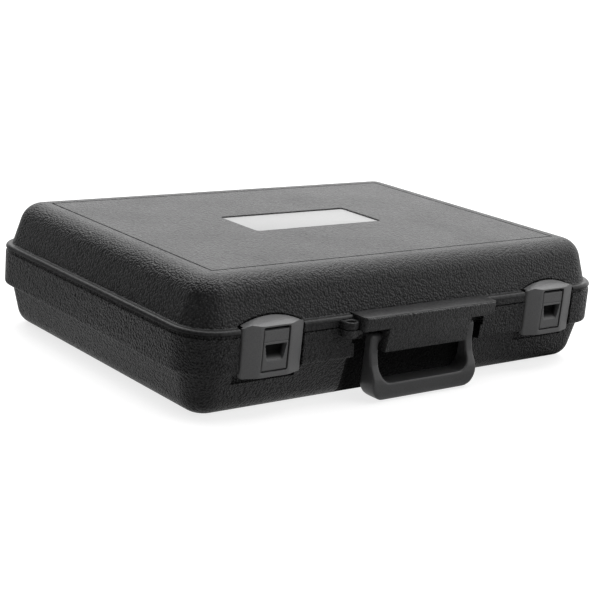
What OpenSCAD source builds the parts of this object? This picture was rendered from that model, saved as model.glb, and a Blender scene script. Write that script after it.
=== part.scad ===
// Blow-moulded carry case for an otoscope set, lying closed on its base.
// Millimetres. The handle side faces -Y, the lid hinges at +Y, +Z is up.
// The origin lies on the ground under the middle of the rim.

/* [Case] */
// Width of the rim, left to right
case_w = 400; // [380:1:440]
// Depth of the rim, front to back
case_d = 288; // [270:1:320]
// Height of the base half, ground to parting line
base_h = 61.5; // [60:0.5:70]
// Height of the lid half, parting line to top
lid_h = 36.5; // [34:0.5:50]
// Plan radius of the rim's corners
corner_r = 30; // [29:0.5:34]

/* [Base half] */
// Height of the rim band
band_h = 28.5; // [26:0.5:31]
// How far the base wall stands back under the band
band_step = 6; // [5:0.5:7]
// Rounding of the band's lower edge
band_round = 3; // [2:0.5:4]
// Depth of the shadow groove under the parting line
rim_groove_t = 1.2; // [0.6:0.1:1.6]
// Height of the shadow groove
rim_groove_h = 2.4; // [1.5:0.1:3]
// Inward lean of the base wall, per mm of height
base_lean = 0.24; // [0.18:0.01:0.28]
// Radius of the rolled bottom edge
base_roll = 15; // [9:0.5:15]
// Thickness of the floor of the base
floor_t = 7; // [6:0.5:9]

/* [Lid half] */
// Height of the lid's flange above the parting line
flange_h = 3.5; // [3:0.5:4.5]
// Width of the ledge on top of the flange
ledge_w = 5; // [4:0.5:6]
// Inward lean of the lid wall, per mm of height
lid_lean = 0.3; // [0.26:0.01:0.32]
// Radius of the rolled top edge
lid_roll = 18; // [16:0.5:18]
// Thickness of the top of the lid
top_t = 6; // [5:0.5:8]
// Extra depth of the lid's front lip between the latches
lip_drop = 4.5; // [3:0.5:5]

/* [Inside] */
// Width of the rim land at the sides and the back
land_w = 15; // [13:0.5:16]
// Width of the rim land at the front
front_land_w = 27; // [26:0.5:30]
// Inward lean of the cavity walls, per mm of height
cavity_lean = 0.15; // [0.1:0.01:0.18]

/* [Top panel] */
// Distance from the rim's edge to the grooved panel line
groove_inset = 33.5; // [32:0.5:40]
// Width of the panel groove
groove_w = 1.2; // [0.8:0.1:2]
// Depth of the panel groove
groove_t = 0.8; // [0.4:0.1:1.2]
// Width of the label recess
label_w = 124; // [80:1:150]
// Depth of the label recess, front to back
label_d = 50; // [30:1:70]
// Depth of the label recess below the top
label_sink = 2; // [1.5:0.1:3]
// Thickness of the label plate
label_t = 1; // [0.6:0.1:1.2]
// Distance of the label's middle behind the case's middle
label_y = 5; // [0:1:20]

/* [Hinge] */
// Radius of the hinge pins
hinge_pin_r = 2; // [1.5:0.1:2.5]
// Outer radius of the hinge knuckles
knuckle_r = 4.8; // [4.2:0.1:5.4]
// Distance of each hinge's middle from the case's side
hinge_inset = 90; // [75:1:100]
// Length of one knuckle
knuckle_l = 14; // [10:0.5:18]
// Number of knuckles in a hinge, odd
knuckle_n = 5; // [3:2:7]
// Lid opening angle shown in the views
lid_open = 0; // [0:1:100]

/* [Latches] */
// Distance of each latch's middle from the case's side
latch_inset = 64.5; // [62:0.5:68]
// Width of a latch
latch_w = 52; // [48:1:56]
// Height of a latch's front face
latch_h = 36.7; // [34:0.1:38]
// How far the front face rises above the lid's flange
latch_rise = 1.7; // [1.2:0.1:3]
// How far the middle of a latch stands proud of the rim
latch_bow = 4.3; // [3:0.1:5]
// Thickness of a latch's plate
latch_t = 3; // [2.5:0.1:3.2]
// Width of the window that holds the trigger
window_w = 23; // [20:0.5:25]
// Radius of the pin that a latch swings on
latch_pin_r = 1.5; // [1.2:0.1:1.7]
// Radius of the pin that a trigger swings on
trigger_pin_r = 1; // [0.8:0.1:1.2]
// Distance of the trigger pin below the top of the front face
trigger_pin_drop = 10.7; // [9.5:0.1:12]
// Radius of the arc along the top of a latch's head
arch_r = 62; // [45:1:90]
// Depth of the finger scoop in a trigger
scoop_t = 6; // [3:0.1:7]

/* [Handle] */
// Width of the handle over its arms
handle_w = 102; // [98:1:108]
// Width of an arm
arm_w = 8; // [7:0.5:9.5]
// Thickness of an arm, front to back
arm_t = 7.5; // [7:0.5:9]
// Distance of the handle's pivot below the parting line
pivot_drop = 14.5; // [14:0.5:16]
// Radius of the handle pins
handle_pin_r = 2; // [1.6:0.1:2.3]
// Height of the grip
grip_h = 13.5; // [12:0.5:15]
// Thickness of the grip, front to back
grip_t = 16; // [14:0.5:17]
// Gap under the grip when the case lies flat
grip_gap = 0.6; // [0.4:0.1:2]
// Outer radius of the handle's lower corners
outer_bend_r = 14; // [12:0.5:18]
// Inner radius of the handle's lower corners
inner_bend_r = 10; // [6:0.5:12]

/* [Handle bracket] */
// How far the bracket's ledge reaches past the handle at each side
ledge_reach = 13.5; // [11:0.5:15]
// How far the bracket stands proud of the rim
bracket_out = 13.5; // [12:0.5:15]
// How far the bracket's top stands above the lid's flange
bracket_rise = 1; // [0.5:0.1:2]
// Thickness of the bracket's ledge
ledge_t = 10.5; // [9:0.5:11]
// Gap between the tongue and each arm of the handle
arm_gap = 3; // [2:0.1:4]
// Height of the tongue between the handle's arms, with the ledge
tongue_h = 29; // [27:0.5:31]
// How far the bracket's face leans back at the foot of the tongue
tongue_lean = 4.8; // [3:0.1:6]
// Plan radius of the ledge's front corners
ledge_corner_r = 4; // [1:0.5:8]
// Radius of the bracket's screws
screw_r = 1.6; // [1.2:0.1:2]

/* [Padlock eyes] */
// Width of a padlock eye
eye_w = 12.5; // [12.5:0.5:16]
// How far an eye stands proud of the rim
eye_out = 9.5; // [9:0.5:11]
// Thickness of an eye
eye_t = 5.6; // [4:0.1:6]
// Plan radius of an eye's outer corners
eye_r = 6; // [4:0.5:6]
// Radius of the hole for the shackle
eye_hole_r = 3.2; // [2.5:0.1:3.5]

/* [Foam] */
// Thickness of the foam pad on the floor
pad_t = 10; // [6:0.5:14]
// Width of the pocket for the instrument's handle
pocket_w = 42; // [36:1:48]
// Radius of the pocket for the instrument's head
head_r = 34; // [28:1:38]
// Depth of the front pockets, front to back
front_pocket_d = 90; // [70:1:100]
// Width of the pocket for spare bulbs
bulb_pocket_w = 48; // [36:1:50]
// Depth of the bulb pocket, front to back
bulb_pocket_d = 60; // [40:1:70]
// Radius of the pockets' corners
pocket_corner_r = 8; // [4:0.5:12]
// Foam left between a pocket and the tray's edge
foam_edge = 25; // [20:1:30]
// Foam left between two front pockets
foam_web = 16; // [12:1:20]

/* [Hidden] */

shell_colour = [0.1, 0.1, 0.11];
smooth_colour = [0.15, 0.15, 0.16];
foam_colour = [0.2, 0.2, 0.21];
steel_colour = [0.62, 0.63, 0.65];
label_colour = [0.85, 0.85, 0.85];

// Clearances: face to face, running fit, held fit, and over a cut
gap = 0.3;
run = 0.06;
hold = 0.02;
cut = 1;
arc_steps = 6;
round_fn = 64;

half_w = case_w / 2;
half_d = case_d / 2;
front = -half_d;
top_z = base_h + lid_h;
band_z = base_h - band_h;
flange_z = base_h + flange_h;
lip_z = base_h - lip_drop;
lip_t = 5.5;
flange_r = 2.6;
edge_cut = 0.8;
groove_ease = 0.5;
ceiling_z = top_z - top_t - label_sink;

// Cavity in plan: the front land is wider than the others
cavity_hw = half_w - land_w;
cavity_hd = (case_d - land_w - front_land_w) / 2;
cavity_y = (front_land_w - land_w) / 2;
cavity_r = corner_r - land_w + 2;

// Lid cavity: a straight stretch, a lean and a soft top corner
lid_lean_h = 14;
lid_lean_in = 2.5;
lid_corner_in = 6;
lid_corner_h = 4;
lid_roof_in = 9;

// Latch pockets and the latch's own places
latch_x = half_w - latch_inset;
latch_z1 = flange_z + latch_rise;
latch_z0 = latch_z1 - latch_h;
pocket_floor = front + 9.5;
latch_gap = 1;
latch_front = front - latch_bow;
latch_pin_y = front + 3.2;
latch_pin_lift = 4.5;
latch_pin_z = latch_z0 + latch_pin_lift;
trigger_pin_y = front + 1;
trigger_pin_z = latch_z1 - trigger_pin_drop;
trigger_wall = 1.8;
head_back = front + 5.8;
head_rise = 4.5;
foot_cut = 1.5;
window_z0 = latch_z0 + 3.6;
window_z1 = latch_z1 - 1;
rib_tip = front + 6.2;
rib_h = 3.2;
lug_w = 3;
lug_r = 2.6;
cheek_w = 4;
cheek_x = (latch_w - cheek_w) / 2 - 1.5;
lug_x = cheek_x - 9;
cheek_r = 3;
boss_r = 2.6;
boss_w = 4;
head_reach = 0.7;

// Bracket seat, handle recess and pivot
bracket_w = handle_w + 2 * ledge_reach;
tongue_w = handle_w - 2 * arm_w - 2 * arm_gap;
bracket_top = flange_z + bracket_rise;
ledge_z = bracket_top - ledge_t;
tongue_z = bracket_top - tongue_h;
pivot_z = base_h - pivot_drop;
seat_y = front + 10;
recess_y = front + 21;
recess_z = pivot_z - 3;
recess_w = bracket_w - 5;
pivot_y = front - 1;
arm_x = (handle_w - arm_w) / 2;
grip_y = front - 4;
screw_z = pivot_z + 4;
screw_pitch = tongue_w / 2 - 14;
screw_slot_w = 0.9;
screw_slot_l = 3.6;
pin_depth = 17;
pin_reach = 5.5;
web_t = 3;
recess_taper = 4;
bracket_ease = 1.2;
screw_head_r = 3.2;
screw_head_t = 2;
screw_reach = 9;

hinge_x = half_w - hinge_inset;
knuckle_gap = 0.4;
hinge_y = half_d + knuckle_r + knuckle_gap;
hinge_l = knuckle_n * knuckle_l;
eye_wall = 1.8;
eye_x = -(bracket_w + eye_w) / 2 - gap;
eye_y = front - eye_out + eye_wall + eye_hole_r;
eye_z = lip_z - gap - eye_t;
eye_root = 6;

base_profile = concat(
    [for (i = [0 : arc_steps]) let (a = (90 - atan(base_lean)) * i / arc_steps)
        [base_foot_inset() - base_roll * sin(a), base_roll * (1 - cos(a))]],
    [[band_step, band_z], [band_round, band_z]],
    [for (i = [1 : 3]) [band_round * (1 - sin(30 * i)), band_z + band_round * (1 - cos(30 * i))]],
    [[0, base_h - rim_groove_h], [rim_groove_t, base_h - rim_groove_h + groove_ease],
        [rim_groove_t, base_h - gap / 2]]);

lid_profile = concat(
    [[edge_cut / 2, base_h + gap / 2], [0, base_h + edge_cut]],
    [for (i = [0 : 3]) [flange_r * (1 - cos(30 * i)), flange_z - flange_r * (1 - sin(30 * i))]],
    [[ledge_w, flange_z]],
    [for (i = [0 : arc_steps]) let (a = atan(lid_lean) + (90 - atan(lid_lean)) * i / arc_steps)
        [lid_top_inset() - lid_roll * cos(a), top_z - lid_roll * (1 - sin(a))]]);

lid_cavity_profile = [[0, lip_z - gap], [0, base_h], [lid_lean_in, base_h + lid_lean_h],
    [lid_corner_in, ceiling_z - lid_corner_h], [lid_roof_in, ceiling_z]];
lid_foam_profile = [[2 * gap, base_h + gap], [lid_lean_in + gap, base_h + lid_lean_h],
    [lid_corner_in + gap, ceiling_z - lid_corner_h], [lid_roof_in + gap, ceiling_z - gap]];

// Inset at which the base's flat underside begins
function base_foot_inset() =
    let (a = 90 - atan(base_lean), z = base_roll * (1 - cos(a)))
    band_step + (band_z - z) * base_lean + base_roll * sin(a);

// Inset at which the lid's flat top begins
function lid_top_inset() =
    let (a = atan(lid_lean), z = top_z - lid_roll * (1 - sin(a)))
    ledge_w + (z - flange_z) * lid_lean + lid_roll * cos(a);

// Rounded block in plan whose sides follow a profile of [inset, height] points
module moulded_block(hw, hd, r, profile) {
    z0 = profile[0][1];
    z1 = profile[len(profile) - 1][1];
    along_x = concat([for (p = profile) [p[0] - hd, p[1]]],
        [for (i = [len(profile) - 1 : -1 : 0]) [hd - profile[i][0], profile[i][1]]]);
    along_y = concat([for (p = profile) [p[0] - hw, p[1]]],
        [for (i = [len(profile) - 1 : -1 : 0]) [hw - profile[i][0], profile[i][1]]]);
    union() {
        translate([-(hw - r), 0, 0])
            rotate([90, 0, 90])
                linear_extrude(2 * (hw - r)) polygon(along_x);
        translate([0, hd - r, 0])
            rotate([90, 0, 0])
                linear_extrude(2 * (hd - r)) polygon(along_y);
        for (sx = [-1, 1], sy = [-1, 1])
            translate([sx * (hw - r), sy * (hd - r), 0])
                rotate_extrude($fn = round_fn)
                    polygon(concat([[0, z0]], [for (p = profile) [r - p[0], p[1]]], [[0, z1]]));
    }
}

// Block between two corners given as [x, y, z]
module span(a, b) {
    translate(a) cube(b - a);
}

// Cylinder along X, from x0 to x1, at y and z
module bar_x(x0, x1, y, z, r) {
    translate([x0, y, z]) rotate([0, 90, 0]) cylinder(r = r, h = x1 - x0, $fn = round_fn);
}

// Outline in y and z, drawn out along X
module along_x(x0, x1, points) {
    translate([x0, 0, 0]) rotate([90, 0, 90]) linear_extrude(x1 - x0) polygon(points);
}

// Outline in x and z, drawn out along Y
module along_y(y0, y1) {
    translate([0, y1, 0]) rotate([90, 0, 0]) linear_extrude(y1 - y0) children();
}

// Rectangle with round corners, about the origin
module round_rect(w, d, r) {
    union() {
        square([w - 2 * r, d], center = true);
        square([w, d - 2 * r], center = true);
        for (sx = [-1, 1], sy = [-1, 1])
            translate([sx * (w / 2 - r), sy * (d / 2 - r)]) circle(r, $fn = round_fn);
    }
}

// One padlock eye, from z0 up, reaching back to y = back, without its hole
module eye_tab(z0, back) {
    tip = front - eye_out;
    translate([eye_x, 0, z0])
        linear_extrude(eye_t)
            intersection() {
                translate([0, tip + eye_w]) round_rect(eye_w, 2 * eye_w, eye_r);
                translate([-eye_w / 2, tip - cut]) square([eye_w, back - tip + cut]);
            }
}

module eye_hole() {
    translate([eye_x, eye_y, eye_z - cut])
        cylinder(r = eye_hole_r, h = 2 * (eye_t + cut) + gap, $fn = round_fn);
}

// Arc along the top of a latch's head, right end first
function head_arc(w, top) = [for (i = [0 : 2 * arc_steps]) let (a = asin(w / arch_r) * (1 - i / arc_steps))
    [arch_r * sin(a), top - arch_r * (1 - cos(a))]];

// Outline of a latch pocket seen from the front
module latch_outline(grow) {
    w = latch_w / 2 + grow;
    z0 = latch_z0 - 6;
    polygon(concat([[-w, z0], [w, z0]], head_arc(w, latch_z1 + head_rise + grow)));
}

// One row of knuckles: first = 0 for the base, 1 for the lid
module knuckles(side, first, r, y0, z0, z1) {
    for (i = [first : 2 : knuckle_n - 1]) {
        x0 = side * hinge_x - hinge_l / 2 + i * knuckle_l + knuckle_gap / 2;
        x1 = x0 + knuckle_l - knuckle_gap;
        bar_x(x0, x1, hinge_y, base_h, r);
        span([x0, y0, z0], [x1, hinge_y, z1]);
    }
}

module base_cavity() {
    depth = base_h - floor_t;
    translate([0, cavity_y, 0])
        moulded_block(cavity_hw, cavity_hd, cavity_r,
            [[depth * cavity_lean, floor_t], [0, base_h], [0, base_h + 4 * cut]]);
}

module base_shell() {
    color(shell_colour)
        difference() {
            union() {
                difference() {
                    moulded_block(half_w, half_d, corner_r, base_profile);
                    base_cavity();
                    // Room for the lid's deeper front lip
                    span([-latch_x, front - cut, lip_z - gap], [latch_x, front + lip_t + gap, top_z]);
                    // Seat for the bracket and the recess that holds the handle
                    span([-bracket_w / 2 - gap, front - cut, recess_z], [bracket_w / 2 + gap, seat_y, top_z]);
                    along_y(front - cut, recess_y)
                        polygon([[-recess_w / 2, recess_z + cut], [recess_taper - recess_w / 2, -cut],
                            [recess_w / 2 - recess_taper, -cut], [recess_w / 2, recess_z + cut]]);
                    for (side = [-1, 1])
                        translate([side * latch_x, 0, 0])
                            along_y(front - cut, pocket_floor) latch_outline(latch_gap);
                }
                for (side = [-1, 1]) {
                    knuckles(side, 0, knuckle_r, half_d - 1, base_h - knuckle_r, base_h - knuckle_gap);
                    // Lugs in the pocket that carry the latch pin
                    for (s = [-1, 1])
                        translate([side * latch_x + s * lug_x, 0, 0]) {
                            span([-lug_w / 2, latch_pin_y, latch_pin_z - lug_r],
                                [lug_w / 2, pocket_floor + 2, latch_pin_z + lug_r]);
                            bar_x(-lug_w / 2, lug_w / 2, latch_pin_y, latch_pin_z, lug_r);
                        }
                }
            }
            for (side = [-1, 1]) {
                bar_x(side * hinge_x - hinge_l / 2 - cut, side * hinge_x + hinge_l / 2 + cut,
                    hinge_y, base_h, hinge_pin_r + hold);
                bar_x(side * latch_x - latch_w / 2, side * latch_x + latch_w / 2,
                    latch_pin_y, latch_pin_z, latch_pin_r + hold);
            }
            for (i = [-1 : 1])
                translate([i * screw_pitch, 0, screw_z]) {
                    rotate([-90, 0, 0]) translate([0, 0, seat_y - cut])
                        cylinder(r = screw_r + gap, h = front_land_w + 2 * cut, $fn = round_fn);
                    rotate([-90, 0, 0]) translate([0, 0, front + front_land_w - screw_head_t])
                        cylinder(r = screw_head_r + gap, h = screw_head_t + 6, $fn = round_fn);
                }
        }
}

module lid_shell() {
    color(shell_colour)
        rotate_lid()
        difference() {
            union() {
                difference() {
                    union() {
                        moulded_block(half_w, half_d, corner_r, lid_profile);
                        // Deeper front lip between the latches
                        span([-latch_x, front, lip_z], [latch_x, front + lip_t, base_h + 1.5]);
                    }
                    translate([0, cavity_y, 0])
                        moulded_block(cavity_hw, cavity_hd, cavity_r, lid_cavity_profile);
                    // Notch that clears the bracket
                    span([-bracket_w / 2 - gap, front - cut, lip_z - cut],
                        [bracket_w / 2 + gap, front + ledge_w, bracket_top + gap]);
                    span([-bracket_w / 2 - gap, front - cut, lip_z - cut],
                        [bracket_w / 2 + gap, front + lip_t + gap, base_h + gap / 2]);
                    for (side = [-1, 1])
                        translate([side * latch_x, 0, 0])
                            along_y(front - cut, pocket_floor) latch_outline(latch_gap);
                    // Panel groove
                    difference() {
                        span([groove_inset - half_w, groove_inset - half_d, top_z - groove_t],
                            [half_w - groove_inset, half_d - groove_inset, top_z + cut]);
                        span([groove_inset + groove_w - half_w, groove_inset + groove_w - half_d, top_z - cut],
                            [half_w - groove_inset - groove_w, half_d - groove_inset - groove_w, top_z + 2 * cut]);
                    }
                    translate([0, label_y, top_z - label_sink])
                        linear_extrude(label_sink + cut) round_rect(label_w, label_d, 3);
                }
                eye_tab(lip_z, front + lip_t);
                for (side = [-1, 1]) {
                    knuckles(side, 1, knuckle_r, half_d - 1, base_h + knuckle_gap, flange_z);
                    // Catch rib that the latch reaches over
                    span([side * latch_x - latch_w / 4, rib_tip, flange_z - rib_h],
                        [side * latch_x + latch_w / 4, pocket_floor + 1, flange_z]);
                }
            }
            eye_hole();
            for (side = [-1, 1])
                bar_x(side * hinge_x - hinge_l / 2 - cut, side * hinge_x + hinge_l / 2 + cut,
                    hinge_y, base_h, hinge_pin_r + run);
        }
}

// Swings lid pieces to the angle chosen for the views
module rotate_lid() {
    translate([0, hinge_y, base_h]) rotate([-lid_open, 0, 0]) translate([0, -hinge_y, -base_h]) children();
}

module label_plate() {
    color(label_colour)
        rotate_lid()
        translate([0, label_y, top_z - label_sink])
            linear_extrude(label_t) round_rect(label_w - 2 * gap, label_d - 2 * gap, 3 - gap);
}

// Foam block that follows the cavity between two heights
module cavity_foam(z0, z1) {
    lean0 = (base_h - z0) * cavity_lean + gap;
    lean1 = (base_h - z1) * cavity_lean + gap;
    translate([0, cavity_y, 0])
        moulded_block(cavity_hw, cavity_hd, cavity_r, [[lean0, z0], [lean1, z1]]);
}

module base_foam_pad() {
    color(foam_colour) cavity_foam(floor_t, floor_t + pad_t);
}

tray_z0 = floor_t + pad_t + gap;
tray_z1 = base_h - 1.5;
tray_back_y = cavity_y + cavity_hd - foam_edge / 2 - head_r;
tray_front_y = cavity_y - cavity_hd + foam_edge + front_pocket_d / 2;
front_pocket_w = (2 * cavity_hw - 2 * foam_edge - 2 * foam_web) / 3;
handle_pocket_x0 = foam_edge + pocket_w / 2 - cavity_hw;
head_x = cavity_hw / 3;
bulb_x = cavity_hw - foam_edge - bulb_pocket_w / 2;

module base_foam_tray() {
    color(foam_colour)
        difference() {
            cavity_foam(tray_z0, tray_z1);
            translate([0, 0, tray_z0 - cut])
                linear_extrude(tray_z1 - tray_z0 + 2 * cut)
                    union() {
                        translate([handle_pocket_x0, tray_back_y]) circle(pocket_w / 2, $fn = round_fn);
                        translate([handle_pocket_x0, tray_back_y - pocket_w / 2])
                            square([head_x - handle_pocket_x0, pocket_w]);
                        translate([head_x, tray_back_y]) circle(head_r, $fn = round_fn);
                        for (i = [-1 : 1])
                            translate([i * (front_pocket_w + foam_web), tray_front_y])
                                round_rect(front_pocket_w, front_pocket_d, pocket_corner_r);
                        translate([bulb_x, tray_back_y])
                            round_rect(bulb_pocket_w, bulb_pocket_d, pocket_corner_r);
                    }
        }
}

module lid_foam() {
    color(foam_colour)
        rotate_lid()
        translate([0, cavity_y, 0])
            moulded_block(cavity_hw, cavity_hd, cavity_r, lid_foam_profile);
}

// Place of the bracket's leaning face at height z
function face_at(z) = let (top = bracket_top - bracket_ease)
    front - bracket_out + tongue_lean * (top - z) / (top - tongue_z);

module handle_bracket() {
    face = front - bracket_out;
    back = front + ledge_w - gap;
    plan_d = seat_y - face + 2 * ledge_corner_r;
    color(shell_colour)
        difference() {
            union() {
                intersection() {
                    along_x(-bracket_w / 2, bracket_w / 2,
                        [[seat_y, recess_z + gap], [seat_y - web_t, recess_z + gap], [seat_y - web_t, ledge_z],
                        [face_at(ledge_z), ledge_z], [face, bracket_top - bracket_ease],
                        [face + bracket_ease, bracket_top], [back, bracket_top], [back, base_h - gap],
                        [seat_y, base_h - gap]]);
                    translate([0, face + plan_d / 2, 0])
                        linear_extrude(2 * bracket_top) round_rect(bracket_w, plan_d, ledge_corner_r);
                }
                along_x(-tongue_w / 2, tongue_w / 2,
                    [[seat_y, recess_z + gap], [seat_y - web_t - 2, recess_z + gap],
                    [seat_y - web_t - 2, tongue_z], [face_at(tongue_z), tongue_z],
                    [face_at(ledge_z + 1), ledge_z + 1], [seat_y - 2, ledge_z + 1]]);
                // Lower padlock eye, rooted under the ledge's end
                eye_tab(eye_z, front - gap);
                span([eye_x, front - eye_out + eye_r, eye_z],
                    [eye_root - bracket_w / 2, front - gap, eye_z + eye_t]);
            }
            eye_hole();
            for (side = [-1, 1])
                bar_x(side > 0 ? tongue_w / 2 - pin_depth - cut : -tongue_w / 2 - cut,
                    side > 0 ? tongue_w / 2 + cut : -tongue_w / 2 + pin_depth + cut,
                    pivot_y, pivot_z, handle_pin_r + hold);
            for (i = [-1 : 1])
                translate([i * screw_pitch, seat_y - screw_reach, screw_z])
                    rotate([-90, 0, 0])
                        cylinder(r = screw_r + hold, h = screw_reach + cut, $fn = round_fn);
        }
}

module bracket_screws() {
    head_y = front + front_land_w - screw_head_t + gap;
    color(steel_colour)
        for (i = [-1 : 1])
            translate([i * screw_pitch, 0, screw_z])
                difference() {
                    union() {
                        translate([0, seat_y - screw_reach + cut, 0]) rotate([-90, 0, 0])
                            cylinder(r = screw_r, h = head_y - seat_y + screw_reach, $fn = round_fn);
                        translate([0, head_y, 0]) rotate([-90, 0, 0])
                            cylinder(r = screw_head_r, h = screw_head_t - 2 * gap, $fn = round_fn);
                    }
                    for (turn = [0, 90])
                        translate([0, head_y + screw_head_t - 2 * gap, 0]) rotate([0, turn, 0])
                            cube([screw_slot_w, screw_head_t, screw_slot_l], center = true);
                }
}

// Front view of the handle: a U with round lower corners
module handle_outline() {
    w = handle_w / 2;
    inner = w - arm_w;
    bottom = grip_gap;
    difference() {
        union() {
            translate([-w, bottom + outer_bend_r])
                square([handle_w, pivot_z - bottom - outer_bend_r + arm_t / 2]);
            translate([outer_bend_r - w, bottom])
                square([handle_w - 2 * outer_bend_r, outer_bend_r + cut]);
            for (s = [-1, 1])
                translate([s * (w - outer_bend_r), bottom + outer_bend_r])
                    circle(outer_bend_r, $fn = round_fn);
        }
        translate([-inner, bottom + grip_h + inner_bend_r]) square([2 * inner, pivot_z]);
        translate([inner_bend_r - inner, bottom + grip_h])
            square([2 * (inner - inner_bend_r), inner_bend_r + cut]);
        for (s = [-1, 1])
            translate([s * (inner - inner_bend_r), bottom + grip_h + inner_bend_r])
                circle(inner_bend_r, $fn = round_fn);
    }
}

// Side view of the handle: slim arms that thicken into the grip
module handle_side() {
    a = arm_t / 2;
    g = grip_t / 2;
    z0 = grip_gap;
    z1 = grip_gap + grip_h;
    soft = grip_h * 0.3;
    union() {
        translate([pivot_y, pivot_z]) circle(a, $fn = round_fn);
        polygon([[pivot_y - a, pivot_z], [pivot_y - a, z0 + 2 * grip_h], [grip_y - g, z1],
            [grip_y - g, z0 + soft], [grip_y - g + soft * 0.3, z0 + soft * 0.3],
            [grip_y - g + soft, z0], [grip_y + g - soft, z0],
            [grip_y + g - soft * 0.3, z0 + soft * 0.3], [grip_y + g, z0 + soft],
            [grip_y + g, z1 - soft / 2], [pivot_y + a, z0 + 2 * grip_h - soft / 2], [pivot_y + a, pivot_z]]);
    }
}

module carry_handle() {
    inner = handle_w / 2 - arm_w;
    color(smooth_colour)
        difference() {
            union() {
                intersection() {
                    translate([-handle_w, 0, 0]) rotate([90, 0, 90]) linear_extrude(2 * handle_w) handle_side();
                    along_y(front - 3 * grip_t, front + 3 * grip_t) handle_outline();
                }
                // Arm tops that turn in towards the tongue
                for (side = [-1, 1])
                    bar_x(side > 0 ? tongue_w / 2 + gap : -inner - cut, side > 0 ? inner + cut : -tongue_w / 2 - gap,
                        pivot_y, pivot_z, arm_t / 2);
            }
            for (side = [-1, 1])
                bar_x(side > 0 ? 0 : -inner - pin_reach - gap, side > 0 ? inner + pin_reach + gap : 0,
                    pivot_y, pivot_z, handle_pin_r + run);
        }
}

// Pin held in the tongue, with its end in an arm's blind bore
module handle_pin(side) {
    near = tongue_w / 2 - pin_depth;
    far = handle_w / 2 - arm_w + pin_reach;
    color(steel_colour)
        bar_x(side > 0 ? near : -far, side > 0 ? far : -near, pivot_y, pivot_z, handle_pin_r);
}

module left_handle_pin() { handle_pin(-1); }
module right_handle_pin() { handle_pin(1); }

module hinge_pin(side) {
    color(steel_colour)
        bar_x(side * hinge_x - hinge_l / 2, side * hinge_x + hinge_l / 2, hinge_y, base_h, hinge_pin_r);
}

module left_hinge_pin() { hinge_pin(-1); }
module right_hinge_pin() { hinge_pin(1); }

// Plan of a latch from its faceted front to the line y = back, inset by t
module latch_plan(t, back) {
    w = latch_w / 2;
    c = window_w / 2 + 1;
    polygon([[-w, back], [-w, front + t], [-c, latch_front + t], [c, latch_front + t], [w, front + t], [w, back]]);
}

// Front view of a latch with cut lower corners and a rounded head
module latch_front_view() {
    w = latch_w / 2;
    polygon(concat([[-w, latch_z0 + foot_cut], [foot_cut - w, latch_z0], [w - foot_cut, latch_z0],
        [w, latch_z0 + foot_cut]], head_arc(w, latch_z1 + head_rise)));
}

module latch_frame(side) {
    head_z = window_z1 + 0.4;
    color(smooth_colour)
        translate([side * latch_x, 0, 0])
            difference() {
                union() {
                    // Faceted plate with its window
                    intersection() {
                        translate([0, 0, latch_z0 - cut])
                            linear_extrude(latch_z1 + head_rise - latch_z0 + 2 * cut)
                                difference() {
                                    latch_plan(0, front + latch_t);
                                    latch_plan(latch_t, front + latch_t + cut);
                                }
                        along_y(latch_front - cut, head_back) latch_front_view();
                        along_x(-latch_w, latch_w, [[latch_front - cut, latch_z0 - cut],
                            [latch_front - cut, latch_z1], [latch_front, latch_z1],
                            [head_back, latch_z1 + head_rise], [head_back, latch_z0 - cut]]);
                    }
                    // Head that reaches back over the flange
                    intersection() {
                        translate([0, 0, head_z]) linear_extrude(20) latch_plan(0, head_back);
                        along_y(latch_front - cut, head_back + cut) latch_front_view();
                        along_x(-latch_w, latch_w, [[latch_front - cut, head_z - cut],
                            [latch_front - cut, latch_z1], [latch_front, latch_z1],
                            [head_back, latch_z1 + head_rise], [head_back, flange_z + gap + head_reach],
                            [front + 0.5, flange_z + gap + head_reach], [front - 1.5, head_z - cut]]);
                    }
                    // Cheeks that carry the two pins
                    for (s = [-1, 1]) {
                        translate([s * cheek_x, 0, 0]) {
                            bar_x(-cheek_w / 2, cheek_w / 2, latch_pin_y, latch_pin_z, cheek_r);
                            span([-cheek_w / 2, front + 0.8, latch_pin_z - cheek_r],
                                [cheek_w / 2, latch_pin_y, latch_pin_z + cheek_r]);
                        }
                        translate([s * (window_w + boss_w) / 2, 0, 0]) {
                            bar_x(-boss_w / 2, boss_w / 2, trigger_pin_y, trigger_pin_z, boss_r);
                            span([-boss_w / 2, latch_front + latch_t - 0.4, trigger_pin_z - boss_r],
                                [boss_w / 2, trigger_pin_y, trigger_pin_z + boss_r]);
                        }
                    }
                }
                along_y(latch_front - cut, front + 8)
                    translate([0, (window_z0 + window_z1) / 2])
                        round_rect(window_w, window_z1 - window_z0, 1.5);
                bar_x(-latch_w, latch_w, latch_pin_y, latch_pin_z, latch_pin_r + run);
                bar_x(-window_w / 2 - boss_w - cut, window_w / 2 + boss_w + cut,
                    trigger_pin_y, trigger_pin_z, trigger_pin_r + hold);
            }
}

module left_latch_frame() { latch_frame(-1); }
module right_latch_frame() { latch_frame(1); }

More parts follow.
